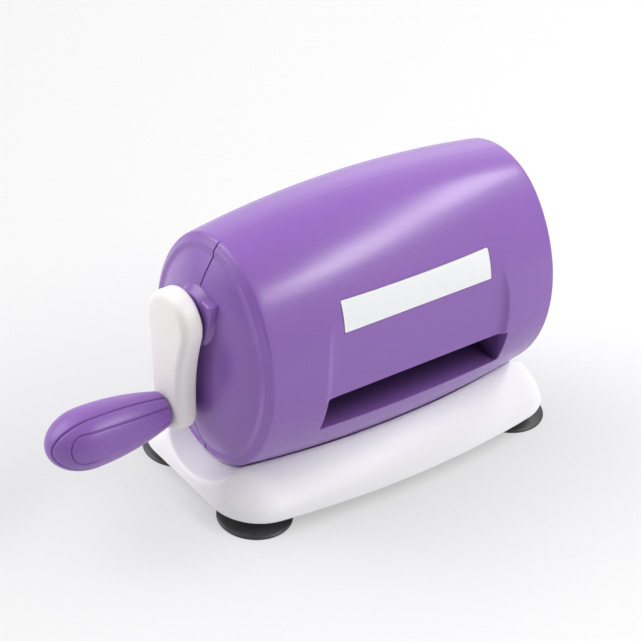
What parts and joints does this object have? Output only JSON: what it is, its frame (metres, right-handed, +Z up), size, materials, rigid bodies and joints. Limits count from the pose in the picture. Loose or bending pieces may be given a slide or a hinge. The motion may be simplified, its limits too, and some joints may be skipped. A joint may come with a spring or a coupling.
{
  "type": "die cutting machine",
  "caption": "Hand-cranked die cutting and embossing machine: oval barrel housing with a feed slot between geared rollers, side crank with turning grip, base on suction feet.",
  "frame": {"origin": "middle of the whole machine's footprint, crank grip included, on the table plane under the suction feet", "axes": "+Z up; X along the rollers with the crank at -X; -Y is the front with the feed slot and the bare label, +Y the back"},
  "size_m": [0.294, 0.1236, 0.1572],
  "materials": {
    "purple_shell": "satin moulded skin",
    "purple_grip": "satin moulded skin",
    "label_white": "smooth, left bare",
    "white_base": "smooth gloss",
    "white_arm": "smooth, softly worn edges",
    "black_rubber": "matt rubber",
    "frame_steel": "dark coated plate",
    "bright_steel": "turned",
    "roller_steel": "ground",
    "gear_steel": "cut teeth, oiled",
    "bushing_plastic": "natural nylon",
    "washer_steel": "zinc plated",
    "screw_steel": "zinc plated"
  },
  "bodies": {
    "housing": {"front_shell": "purple_shell", "rear_shell": "purple_shell", "label_plate": "label_white", "base": "white_base", "suction_feet": "black_rubber", "side_frame_left": "frame_steel", "side_frame_right": "frame_steel", "tie_rods": "bright_steel", "roller_bushings": "bushing_plastic", "crank_bushing_inner": "bushing_plastic", "crank_bushing_outer": "bushing_plastic", "base_screws": "screw_steel", "shell_screws": "screw_steel"},
    "crank": {"crank_shaft": "bright_steel", "crank_pinion": "gear_steel", "crank_washer": "washer_steel", "crank_arm": "white_arm", "arm_grub_screw": "screw_steel", "handle_pin": "bright_steel"},
    "grip": {"grip_front_half": "purple_grip", "grip_rear_half": "purple_grip", "grip_screws": "screw_steel"},
    "upper_roller": {"upper_roller": "roller_steel", "drive_gear": "gear_steel", "sync_gear_upper": "gear_steel"},
    "lower_roller": {"lower_roller": "roller_steel", "sync_gear_lower": "gear_steel"}
  },
  "joints": [
    {"name": "crank_turn", "type": "hinge", "parent": "housing", "child": "crank", "pos_m": [-0.05955, 0, 0.1105], "axis": [1, 0, 0], "continuous": true},
    {"name": "upper_roller_turn", "type": "hinge", "parent": "housing", "child": "upper_roller", "pos_m": [0.04045, 0, 0.085], "axis": [1, 0, 0], "continuous": true},
    {"name": "lower_roller_turn", "type": "hinge", "parent": "housing", "child": "lower_roller", "pos_m": [0.04045, 0, 0.045], "axis": [1, 0, 0], "continuous": true},
    {"name": "grip_spin", "type": "hinge", "parent": "crank", "child": "grip", "pos_m": [-0.10955, 0, 0.0605], "axis": [1, 0, 0], "continuous": true}
  ],
  "couplings": [
    {"joint": "upper_roller_turn", "follows": "crank_turn", "ratio": -0.41667},
    {"joint": "lower_roller_turn", "follows": "crank_turn", "ratio": 0.41667}
  ]
}
